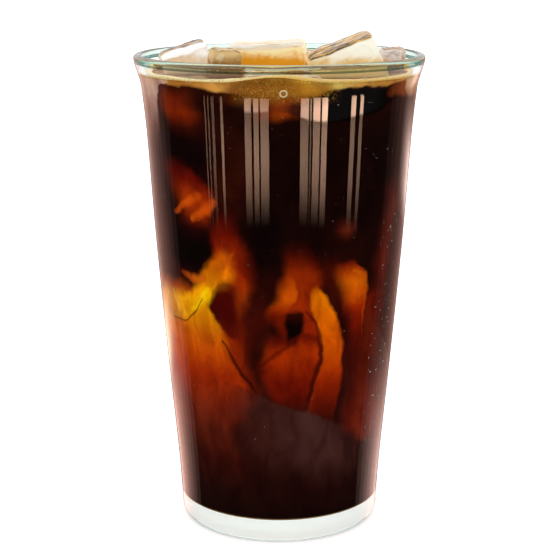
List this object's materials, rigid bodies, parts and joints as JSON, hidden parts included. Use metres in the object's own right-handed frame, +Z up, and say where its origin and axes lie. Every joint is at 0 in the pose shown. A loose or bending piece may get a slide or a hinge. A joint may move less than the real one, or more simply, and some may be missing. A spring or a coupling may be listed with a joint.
{
  "type": "iced black coffee in a glass tumbler",
  "caption": "Tapered clear glass tumbler of iced black coffee, with clear ice cubes breaking its surface.",
  "frame": {"origin": "centre of the ring that the tumbler stands on, at the height of the surface under it", "axes": "+Z up along the tumbler's axis, -Y towards the side that was seen, +X to the right from there"},
  "size_m": [0.0894, 0.0894, 0.1549],
  "materials": {
    "clear_glass": "clear soda-lime glass with a faint green tint, polished",
    "coffee": "black coffee, nearly black where it is deep and amber to orange where light comes through, with a thin cream-coloured rim of foam",
    "ice": "clear ice with bubbles, tinted amber near the coffee, wet"
  },
  "bodies": {
    "root": {"glass": "clear_glass", "coffee": "coffee", "ice_left": "ice", "ice_chip": "ice", "ice_middle": "ice", "ice_right": "ice", "ice_edge": "ice", "ice_front": "ice", "ice_back_right": "ice", "ice_back_left": "ice"}
  },
  "joints": []
}
